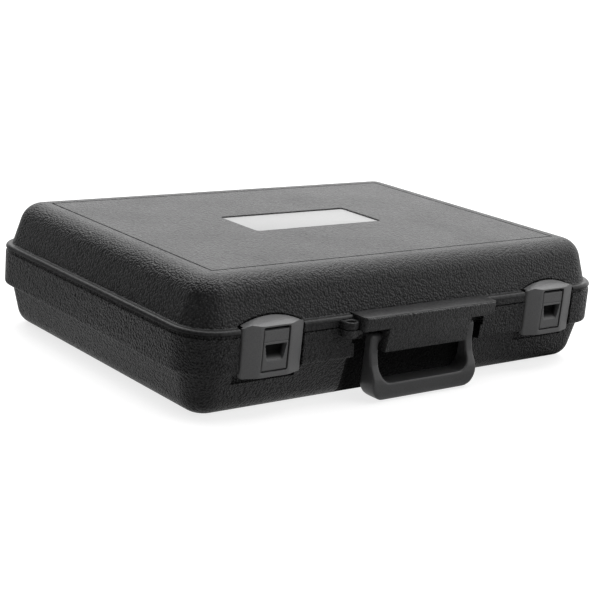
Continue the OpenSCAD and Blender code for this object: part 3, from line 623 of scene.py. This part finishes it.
# %% Loft the lid
LID_ROLL, LID_SLOPE, LEDGE, BEAD_R = 18, 0.3, 5, 2.6
lid_rim = PARTING + 0.15
lid_lean = math.atan(LID_SLOPE)
crown = TOP - LID_ROLL * (1 - math.sin(lid_lean))
top_inset = LEDGE + (crown - FLANGE) * LID_SLOPE + LID_ROLL * math.cos(lid_lean)
inside = [(9, 90), (6, 86), (2.5, 75.5), (0, lid_rim), (-5, lid_rim)]
lid_rings = [cavity_ring(14, 90)] + [cavity_ring(i, z) for i, z in eased(inside, 3.0)]
rim = [(6, lid_rim), (0.5, lid_rim), (0, 62.2), (0, 62.6)]
rim += [(BEAD_R * (1 - math.cos(a)), FLANGE - BEAD_R + BEAD_R * math.sin(a))
        for a in [math.pi / 2 * k / 6 for k in range(1, 7)]]
lid_wall = [(3, FLANGE), (LEDGE, FLANGE), (LEDGE + (crown - FLANGE) * LID_SLOPE, crown)]
lid_rings += [case_ring(i, z) for i, z in rim]
lid_rings += [case_ring(i, z) for i, z in eased(lid_wall, 1.6)[1:-1]]
lid_rings += [case_ring(top_inset - LID_ROLL * math.cos(a), TOP - LID_ROLL * (1 - math.sin(a)))
              for a in [lid_lean + (math.pi / 2 - lid_lean) * k / 14 for k in range(15)]]
lid = as_object("lid_half", skin(lid_rings))


# %% Cut the lid's groove, label tray and pockets
LABEL_W, LABEL_D, LABEL_CORNER, LABEL_Y, LABEL_SINK = 124, 50, 3, 5, 2
GROOVE_HALF_W, GROOVE_HALF_D, GROOVE_W, GROOVE_DEEP = 166.5, 110.5, 1.2, 0.9
NOTCH_BACK, NOTCH_TOP = -139, 66.3


def groove_tool(half_w, half_d, width, depth):
    """A square frame with a V section, for the line round the top."""
    section = [(-width / 2 - 0.3, TOP + 0.3), (-width / 4, TOP - depth), (width / 4, TOP - depth),
               (width / 2 + 0.3, TOP + 0.3), (0, TOP + 3)]
    rings = []
    for out, z in section:
        x, y = half_w + out, half_d + out
        rings.append([(x, y, z), (-x, y, z), (-x, -y, z), (x, -y, z)])
    return skin(rings, closed_loop=True)


label_hole = along("Z", round_rect(LABEL_W, LABEL_D, LABEL_CORNER, 0, LABEL_Y), TOP - LABEL_SINK,
                   TOP + 5, flare=0.5, flare_at=TOP)
bracket_notch = block("X", (AHEAD, NOTCH_BACK), (BELOW, NOTCH_TOP), (-SEAT_HALF, SEAT_HALF))
groove = groove_tool(GROOVE_HALF_W, GROOVE_HALF_D, GROOVE_W, GROOVE_DEEP)
worked(lid, [groove, label_hole, bracket_notch] + [pocket_tool(s) for s in SIDES])
print("lid cut,", len(lid.data.polygons), "faces")


# %% Front lip, catch ribs, knuckles and upper eye of the lid
RIB_HALF, RIB_TIP, RIB_FOOT = 14, -137.8, 61.8
LIP_FRONT, LIP_TOP, LIP_SIDE_GAP = FRONT + 0.4, 63, 0.1


def lip_block(x0, x1):
    """A stretch of the lid's deeper front lip."""
    lip = as_object("lip", block("X", (LIP_FRONT, LIP_BACK), (LIP_FOOT, LIP_TOP), (x0, x1)))
    return as_part(bevelled(lip, 0.8))


rib_xs = [(s * LATCH_X - RIB_HALF, s * LATCH_X + RIB_HALF) for s in SIDES]
ribs = [block("X", (RIB_TIP, SEAT_BACK), (RIB_FOOT, FLANGE), xs) for xs in rib_xs]
lip_start = SEAT_HALF + LIP_SIDE_GAP
lips = [lip_block(-LIP_END, -lip_start), lip_block(lip_start, LIP_END)]
joined(lid, ribs + lips + knuckle_bars(1, 61.9, FLANGE) + [padlock_eye(LIP_FOOT, LIP_BACK)])
smooth(lid)
fitted(lid, "lid", "lid_shell", lid_finish)

# %% [markdown]
# ## The label plate
# The label's place stays bare: a thin light grey plate with softened edges.

# %% Make the label plate
LABEL_GAP, LABEL_THICK = 0.3, 1
label_outline = round_rect(LABEL_W - 2 * LABEL_GAP, LABEL_D - 2 * LABEL_GAP,
                           LABEL_CORNER - LABEL_GAP, 0, LABEL_Y)
label_foot = TOP - LABEL_SINK
label_panel = as_object("label_panel", along("Z", label_outline, label_foot, label_foot + LABEL_THICK))
bevelled(label_panel, 0.25, 2)
smooth(label_panel)
fitted(label_panel, "lid", "label_plate", label_finish)

# %% [markdown]
# ## Handle and bracket
# The handle is one thick smooth moulding. It is the meeting of its front outline, a U, and its
# side outline, a slim arm that swells into the grip; a fine remesh and smoothing then round it
# all over, as the real one is rounded for the hand. The bracket is a ledge with a tongue below
# it. Both are side outlines drawn along X, joined and given one small bevel, since the real one
# has flat faces and tight edges.

# %% Shape the handle
def quarter(cx, cz, r, start, steps=10):
    """A quarter turn of radius r round a centre, anticlockwise from an angle in degrees."""
    return [(cx + r * math.cos(math.radians(start + 90 * k / steps)),
             cz + r * math.sin(math.radians(start + 90 * k / steps))) for k in range(steps + 1)]


def handle_blank():
    """The handle before it is rounded: front outline meets side outline, with a boss in each arm."""
    w, inner, foot_z, outer_r, inner_r = 51.0, 43.0, 0.6, 14.0, 10.0
    arm, grip, pivot_y, grip_y, pivot_z, grip_top = 3.75, 8.0, -145.0, -148.0, 47.0, 14.1
    boss_in, boss_out, over, reach, front_y, back_y = 40.3, 46, 52, 60, -170, -120
    u = [(-w, over)] + quarter(outer_r - w, foot_z + outer_r, outer_r, 180)
    u += quarter(w - outer_r, foot_z + outer_r, outer_r, 270) + [(w, over), (inner, over)]
    u += list(reversed(quarter(inner - inner_r, grip_top + inner_r, inner_r, 270)))
    u += list(reversed(quarter(inner_r - inner, grip_top + inner_r, inner_r, 180))) + [(-inner, over)]
    blank = as_object("handle_grip", along("Y", u, front_y, back_y))
    side = [(pivot_y + arm * math.cos(a), pivot_z + arm * math.sin(a)) for a in
            [math.pi * k / 12 for k in range(13)]]
    side += [(pivot_y - arm, 36), (pivot_y - arm - 1.8, 27), (grip_y - grip + 0.8, 18)]
    side += [(grip_y - grip, 13), (grip_y - grip, 4.6), (grip_y - grip + 1.2, 1.8)]
    side += [(grip_y - grip + 4, foot_z)]
    side += [(grip_y + grip - 4, foot_z), (grip_y + grip - 1.2, 1.8), (grip_y + grip, 4.6)]
    side += [(grip_y + grip, 12), (pivot_y + arm + 0.5, 24), (pivot_y + arm, 32)]
    worked(blank, [along("X", side, -reach, reach)], "INTERSECT")
    bosses = [rounded_bar(*sorted((s * boss_in, s * boss_out)), pivot_y, pivot_z, arm) for s in SIDES]
    return worked(blank, bosses, "UNION")


VOXEL, RUBS = 0.7, 14
handle = handle_blank()
cast = handle.modifiers.new("cast", "REMESH")
cast.mode = "VOXEL"
cast.voxel_size = VOXEL * MM
rub = handle.modifiers.new("rub", "SMOOTH")
rub.factor = 0.5
rub.iterations = RUBS
baked(handle)
handle.data.shade_smooth()
fitted(handle, "handle", "carry_handle", handle_finish)

# %% Shape the bracket
LEDGE_W, LEDGE_D, LEDGE_CORNER, LEDGE_Y = 129, 40, 4, -137.5
LEDGE_EDGE, LEDGE_TOP, LEDGE_FOOT = 64.8, 66, 55.5
TONGUE_FOOT, TONGUE_HALF, BRACKET_FOOT = 37, 40, 44.3
BRACKET_FRONT, BRACKET_LEAN = -157.5, 4.8
LOWER_EYE_Z, EYE_ROOT_Y = 51.1, -144.3


def face_at(z):
    """The bracket's face leans back in one plane from its top edge to the tongue's foot."""
    return BRACKET_FRONT + BRACKET_LEAN * (LEDGE_EDGE - z) / (LEDGE_EDGE - TONGUE_FOOT)


ledge_side = [(SEAT_BACK, BRACKET_FOOT), (-137, BRACKET_FOOT), (-137, LEDGE_FOOT),
              (face_at(LEDGE_FOOT), LEDGE_FOOT), (face_at(LEDGE_EDGE), LEDGE_EDGE),
              (-156.3, LEDGE_TOP), (-139.3, LEDGE_TOP), (-139.3, 61.2), (SEAT_BACK, 61.2)]
tongue_side = [(SEAT_BACK, BRACKET_FOOT), (-139, BRACKET_FOOT), (-139, TONGUE_FOOT),
               (face_at(TONGUE_FOOT), TONGUE_FOOT), (face_at(56.5), 56.5), (-136, 56.5)]
ledge_plan = round_rect(LEDGE_W, LEDGE_D, LEDGE_CORNER, 0, LEDGE_Y)
ledge_reach = LEDGE_W / 2 + 1.5
bracket = as_object("bracket_ledge", along("X", ledge_side, -ledge_reach, ledge_reach))
worked(bracket, [along("Z", ledge_plan, BELOW, ABOVE)], "INTERSECT")
tongue = along("X", tongue_side, -TONGUE_HALF, TONGUE_HALF)
eye_root = block("Z", (-71, -58.5), (-147.5, EYE_ROOT_Y), (LOWER_EYE_Z, LOWER_EYE_Z + EYE_TALL))
worked(bracket, [tongue, eye_root], "UNION")
bevelled(bracket, 0.8, 3)
joined(bracket, [padlock_eye(LOWER_EYE_Z, EYE_ROOT_Y)])
smooth(bracket)
fitted(bracket, "base", "handle_bracket", bracket_finish)

# %% [markdown]
# ## Latches
# Each latch is a bowed plate with a sloping head and a window, and a finger tab in the window.
# The plate is the meeting of three outlines: the faceted plan seen from above, the slope seen
# from the side and the shallow arc of its head seen from the front. A real latch hooks over the
# lid's rib; this one only stands in front of it, so it doesn't hold the lid shut. The tab is a
# front and a back sheet, whose depth at each point comes from a formula: a scoop with a soft
# floor and a sharp brow is easier to write than to cut.

# %% Shape a latch plate
CREASE = 55.0
LATCH_FACE, LATCH_FLAT, LATCH_BACK, LATCH_FOOT = -148.3, 12.5, -138.2, 30
HEAD_FOOT, HOLLOW_TOP = 66.7, 66.1
WINDOW_W, WINDOW_TALL, WINDOW_Z = 23, 32.1, 49.65
LATCH_LEAN = 0.03
TAB_PIN_Y, TAB_PIN_Z = -143, 56


def lean_back(z):
    """Below its crease a latch's face leans back a little."""
    return LATCH_LEAN * max(0.0, CREASE - z)


def latch_plan():
    """The faceted plan of a latch, seen from above."""
    w, flat = LATCH_HALF, LATCH_FLAT
    front = [(-w, FRONT), (-flat, LATCH_FACE), (flat, LATCH_FACE), (w, FRONT)]
    return eased([(-w, LATCH_BACK)] + front + [(w, LATCH_BACK)], 2.0)


def latch_plate(side):
    """One latch's plate, hollow behind, with its window."""
    w, cut_foot, reach, behind = LATCH_HALF, 1.5, 40, -130
    inner, side_inner, window_back = -145.3, FRONT + 2.7, -141
    front_view = [(-w, LATCH_FOOT + cut_foot), (cut_foot - w, LATCH_FOOT),
                  (w - cut_foot, LATCH_FOOT), (w, LATCH_FOOT + cut_foot)]
    front_view += head_arc(w, HEAD_TOP)
    plate = as_object(f"latch_{side}", along("Z", latch_plan(), BELOW, ABOVE))
    worked(plate, [along("Y", front_view, AHEAD, behind)], "INTERSECT")
    slope = [(AHEAD, BELOW), (AHEAD, HEAD_FOOT), (LATCH_FACE, HEAD_FOOT), (LATCH_BACK, HEAD_TOP),
             (behind, HEAD_TOP), (behind, BELOW)]
    worked(plate, [along("X", slope, -reach, reach)], "INTERSECT")
    hollow = [(-w - 1, behind), (-w - 1, side_inner), (-LATCH_FLAT, inner), (LATCH_FLAT, inner),
              (w + 1, side_inner), (w + 1, behind)]
    worked(plate, [along("Z", hollow, BELOW, HOLLOW_TOP)])
    window = round_rect(WINDOW_W, WINDOW_TALL, 1.5, 0, WINDOW_Z)
    worked(plate, [along("Y", window, AHEAD, window_back)])
    bevelled(plate, 0.6, 3)
    bm = bmesh.new()
    bm.from_mesh(plate.data)
    bmesh.ops.bisect_plane(bm, geom=bm.verts[:] + bm.edges[:] + bm.faces[:],
                           plane_co=(0, 0, CREASE * MM), plane_no=(0, 0, 1))
    for v in bm.verts:
        v.co.y += lean_back(v.co.z / MM) * MM
        v.co.x += side * LATCH_X * MM
    bm.to_mesh(plate.data)
    bm.free()
    return smooth(plate, 30)


def cheek_parts(side):
    """The cheeks behind a plate: the outer two hold the latch's pin, the inner two the trigger's."""
    parts = []
    for s in SIDES:
        outer, inner = side * LATCH_X + s * CHEEK_X, side * LATCH_X + s * LUG_X
        parts += pin_lug(outer, 2, LATCH_PIN_Y, LATCH_PIN_Z, 3.0, -143.0, 0.1)
        parts += pin_lug(inner, 2, TAB_PIN_Y, TAB_PIN_Z, 2.6, -145.7, 0.1)
    return parts


# %% Shape a trigger with its finger scoop
TAB_FOOT, TAB_TOP, TAB_HALF = 34.4, 63.7, 10.7
TAB_FACE, TAB_INNER, TAB_BACK = -147.9, -146.3, -142.8
BAR_HALF, BAR_Y, BAR_R = 10.6, -142.6, 2.4
# Heights where the scoop starts, reaches its floor and ends in a brow, and its depth
SCOOP_START, SCOOP_FLOOR, BROW_START, BROW_END, SCOOP_DEEP = 41.0, 47.5, 52.6, 53.2, 6.0
# Its half width at one height, and how much that grows for each mm upwards
SCOOP_HALF, SCOOP_HALF_Z, SCOOP_FLARE = 6.3, 42, 2.3 / 11.2
ROUND_DEEP, ROUND_REACH = 0.7, 0.8
SCORE_Z, SCORE_DEEP, SCORE_HALF = 55.1, 0.45, 0.5
# Extra rows and columns of points where the soft rim and the score line need them
FINE_US = {-10.4, 10.4, -10.2, 10.2}
FINE_ZS = {34.6, 34.8, 63.3, 63.5, SCORE_Z, 54.75, 55.45}


def soft_step(a, b, x):
    """0 before a, 1 after b, and a smooth rise between them."""
    t = max(0.0, min(1.0, (x - a) / (b - a)))
    return t * t * (3 - 2 * t)


def finger_scoop(u, z, wider=0.0):
    """How deep the finger scoop is at u from the tab's middle and height z. It widens upwards."""
    half = SCOOP_HALF + SCOOP_FLARE * (z - SCOOP_HALF_Z) + wider
    rise = soft_step(SCOOP_START - wider, SCOOP_FLOOR - wider, z)
    brow = 1 - soft_step(BROW_START + wider, BROW_END + wider, z)
    return SCOOP_DEEP * rise * brow * (1 - soft_step(half - 0.3, half + 0.5, abs(u)))


def tab_face(u, z):
    """How far the tab's face lies behind its foremost plane: scoop, soft rim, score line, lean."""
    edge = min(TAB_HALF - abs(u), z - TAB_FOOT, TAB_TOP - z)
    round_off = ROUND_DEEP * (1 - min(1.0, edge / ROUND_REACH)) ** 2
    line = SCORE_DEEP * max(0.0, 1 - abs(z - SCORE_Z) / SCORE_HALF)
    return finger_scoop(u, z) + round_off + line + lean_back(z)


def trigger_tab(side):
    """A finger tab: a front sheet and a back sheet, closed round their border, and its pivot bar."""
    us = sorted({round(TAB_HALF * (k / 20 - 1), 3) for k in range(41)} | FINE_US)
    tall = TAB_TOP - TAB_FOOT
    zs = sorted({round(TAB_FOOT + tall * k / 60, 3) for k in range(61)} | FINE_ZS)
    middle = side * LATCH_X
    bm = bmesh.new()

    def sheet(y_at):
        rows = [[bm.verts.new(Vector((middle + u, y_at(u, z), z)) * MM) for u in us] for z in zs]
        for low, high in zip(rows, rows[1:]):
            for k in range(len(us) - 1):
                bm.faces.new((low[k], low[k + 1], high[k + 1], high[k]))
        up = [row[0] for row in rows]
        down = [row[-1] for row in rows[-2::-1]]
        return up + rows[-1][1:] + down + rows[0][-2:0:-1]

    front = sheet(lambda u, z: TAB_FACE + tab_face(u, z))
    back = sheet(lambda u, z: max(TAB_BACK, TAB_INNER + finger_scoop(u, z, 1.5)))
    for k in range(len(front)):
        n = (k + 1) % len(front)
        bm.faces.new((front[k], front[n], back[n], back[k]))
    bmesh.ops.recalc_face_normals(bm, faces=bm.faces)
    tab = as_object(f"trigger_{side}", bm)
    joined(tab, [rounded_bar(middle - BAR_HALF, middle + BAR_HALF, BAR_Y, TAB_PIN_Z, BAR_R, 0.3, 24)])
    return smooth(tab, 40)


# %% Fit both latches
for side, word in zip(SIDES, ("left", "right")):
    plate = latch_plate(side)
    plate.name = f"{word}_latch_plate"
    joined(plate, cheek_parts(side))
    fitted(plate, f"{word}_latch", f"{word}_latch_frame", latch_finish)
    tab = trigger_tab(side)
    tab.name = f"{word}_trigger_tab"
    fitted(tab, f"{word}_trigger", f"{word}_latch_trigger", trigger_finish_and_shade)

# %% [markdown]
# ## Pins and screws
# Pins and screws are plain bright stock and keep their CAD shapes; they only get a steel finish.

# %% Finish the steel pieces
for name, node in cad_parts.items():
    if name.endswith("_pin") or name == "bracket_screws":
        node.data.materials.clear()
        node.data.materials.append(steel_finish)
        smooth(node, 30)

# %% [markdown]
# ## Foam
# The base holds a foam pad and a tray with cut pockets; the lid holds an egg-crate foam that
# presses on the tools. Cut foam has crisp pores and slightly slumped edges, so the pockets' mouths
# flare a little. The egg-crate waves are cut by a block whose top follows two cosines.

# %% Foam in the base
FOAM_CLEAR, FOAM_SLOPE = 0.4, 0.15
PAD_FOOT, PAD_TOP, TRAY_FOOT, TRAY_TOP, POCKET_FLOOR = 7.1, 16.9, 17.3, 60.0, 15


def foam_block(z0, z1, edge=1.2):
    """A foam piece that follows the tray's leaning walls, from height z0 to z1."""
    def lean_in(z):
        return (PARTING - z) * FOAM_SLOPE + FOAM_CLEAR

    profile = [(lean_in(z0) + 6, z0), (lean_in(z0), z0), (lean_in(z1), z1), (lean_in(z1) + 6, z1)]
    return skin([cavity_ring(i, z) for i, z in eased(profile, edge)])


pad = as_object("floor_pad", foam_block(PAD_FOOT, PAD_TOP))
smooth(pad)
fitted(pad, "base", "base_foam_pad", foam_finish)

# Three pockets in the front row, and a smaller one for bulbs at the back
FRONT_W, FRONT_D, FRONT_Y, POCKET_CORNER = 96, 90, -47, 8
BULB_W, BULB_D, BULB_X = 48, 60, 136
# The otoscope's pocket: a round end for its handle, a wider round end for its head
TOOL_Y, HANDLE_END_X, HANDLE_END_R, HEAD_END_X, HEAD_END_R = 82.5, -139, 21, 61.67, 34
tray = as_object("pocket_tray", foam_block(TRAY_FOOT, TRAY_TOP, 2.0))
pockets = [round_rect(FRONT_W, FRONT_D, POCKET_CORNER, x, FRONT_Y) for x in (-112, 0, 112)]
pockets.append(round_rect(BULB_W, BULB_D, POCKET_CORNER, BULB_X, TOOL_Y))
neck = math.pi - math.asin(HANDLE_END_R / HEAD_END_R)
handle_turn = [math.pi / 2 + math.pi * k / 16 for k in range(17)]
head_turn = [-neck + 2 * neck * k / 30 for k in range(31)]
tool_pocket = []
for x, r, turn in ((HANDLE_END_X, HANDLE_END_R, handle_turn), (HEAD_END_X, HEAD_END_R, head_turn)):
    tool_pocket += [(x + r * math.cos(a), TOOL_Y + r * math.sin(a)) for a in turn]
pockets.append(tool_pocket)
worked(tray, [along("Z", o, POCKET_FLOOR, 70, flare=1.2, flare_at=TRAY_TOP) for o in pockets])
smooth(tray)
fitted(tray, "base", "base_foam_tray", foam_finish)

# %% Egg-crate foam in the lid
def egg_crate_tool(pitch=24.0, deep=9.0, low=62.4):
    """A block whose wavy top cuts the egg-crate hollows into the foam's underside."""
    hw, hd, y, foot_z, calm_edge = 174.0, 112.0, 6.0, 50, 8
    nx, ny = 116, 76
    bm = bmesh.new()

    def height(x, v):
        calm = min(1.0, (hw - abs(x)) / calm_edge, (hd - abs(v)) / calm_edge)
        wave = math.cos(2 * math.pi * x / pitch) * math.cos(2 * math.pi * v / pitch)
        return low + deep * calm * (0.5 - 0.5 * wave)

    top = [[bm.verts.new(Vector((hw * (2 * i / nx - 1), y + hd * (2 * j / ny - 1),
                                 height(hw * (2 * i / nx - 1), hd * (2 * j / ny - 1)) + 0.01)) * MM)
            for i in range(nx + 1)] for j in range(ny + 1)]
    for a, b in zip(top, top[1:]):
        for i in range(nx):
            bm.faces.new((a[i], a[i + 1], b[i + 1], b[i]))
    border = [e for e in bm.edges if e.is_boundary]
    made = bmesh.ops.extrude_edge_only(bm, edges=border)["geom"]
    for v in made:
        if isinstance(v, bmesh.types.BMVert):
            v.co.z = foot_z * MM
    bmesh.ops.contextual_create(bm, geom=[e for e in bm.edges if e.is_boundary])
    bmesh.ops.recalc_face_normals(bm, faces=bm.faces)
    return bm


pad_side = [(8, 62.4), (1.0, 62.4), (2.9, 75.5), (6.4, 86), (9.4, 89.7), (14, 89.7)]
lid_pad = as_object("lid_egg_foam", skin([cavity_ring(i, z) for i, z in eased(pad_side, 1.5)]))
worked(lid_pad, [egg_crate_tool()])
smooth(lid_pad)
fitted(lid_pad, "lid", "lid_foam", foam_finish)

# %% [markdown]
# ## Studio
# The photograph is lit softly from above and behind on white, so the lid shows a broad sheen and
# the walls stay dark. A pale floor, a wide soft light from above and behind, and a room that is
# bright beyond the case's right end and dim behind the camera do the same.

# %% Floor and lights
floor_mesh = bmesh.new()
bmesh.ops.create_grid(floor_mesh, x_segments=8, y_segments=8, size=60.0)
floor = as_object("studio_floor", floor_mesh)
floor_finish = bpy.data.materials.new("pale_floor")
floor_finish.use_nodes = True
floor_tree = floor_finish.node_tree
floor_shader = floor_tree.nodes["Principled BSDF"]
floor_shader.inputs["Base Color"].default_value = (0.36, 0.36, 0.36, 1)
floor_shader.inputs["Roughness"].default_value = 0.7
floor_shader.inputs["Specular IOR Level"].default_value = 0.1
# The paper glows twice: evenly for the camera alone, so that its shadows stay faint, and unseen
# by the camera in an oval round the case's foot, which lights the walls that lean over the floor
SEEN_GLOW, POOL_GLOW = 0.78, 0.58
POOL_INNER, POOL_OUTER = 0.17, 0.28
floor_shader.inputs["Emission Color"].default_value = (1, 1, 1, 1)
ray = add(floor_tree, "ShaderNodeLightPath")
spot = add(floor_tree, "ShaderNodeTexCoord")
oval = add(floor_tree, "ShaderNodeVectorMath", operation="MULTIPLY_ADD")
oval.inputs[1].default_value = (1, 1.35, 1)
oval.inputs[2].default_value = (0.05, 0, 0)
away = add(floor_tree, "ShaderNodeVectorMath", operation="LENGTH")
floor_tree.links.new(spot.outputs["Object"], oval.inputs[0])
floor_tree.links.new(oval.outputs[0], away.inputs[0])
pool = eased_range(floor_tree, away.outputs["Value"], POOL_INNER, POOL_OUTER, POOL_GLOW, 0.0)
seen = maths(floor_tree, "MULTIPLY", ray.outputs["Is Camera Ray"], SEEN_GLOW)
other_ray = maths(floor_tree, "SUBTRACT", 1.0, ray.outputs["Is Camera Ray"])
unseen = maths(floor_tree, "MULTIPLY", other_ray, pool)
floor_tree.links.new(maths(floor_tree, "ADD", seen, unseen), floor_shader.inputs["Emission Strength"])
floor.data.materials.append(floor_finish)

sun_data = bpy.data.lights.new("big_soft_sky", "SUN")
sun_data.energy = 3.0
sun_data.angle = math.radians(75)
sun = bpy.data.objects.new("big_soft_sky", sun_data)
bpy.context.scene.collection.objects.link(sun)
sun_from = Vector((0.35, 0.75, 2.0))
sun.rotation_euler = (-sun_from).to_track_quat("-Z", "Y").to_euler()

# %% A room that is bright beyond the case's right end and dim behind the camera
DIM, BRIGHT = 0.03, 1.5
world = bpy.data.worlds.new("studio_room")
bpy.context.scene.world = world
world.use_nodes = True
room = world.node_tree
sky = room.nodes["Background"]
where = add(room, "ShaderNodeTexCoord")
toward = add(room, "ShaderNodeVectorMath", operation="DOT_PRODUCT")
toward.inputs[1].default_value = (0.93, 0.25, 0.25)
room.links.new(where.outputs["Generated"], toward.inputs[0])
strength = eased_range(room, toward.outputs["Value"], -0.35, 0.85, DIM, BRIGHT)
room.links.new(strength, sky.inputs["Strength"])
sky.inputs["Color"].default_value = (1, 1, 1, 1)
bpy.context.scene.view_settings.view_transform = "Standard"
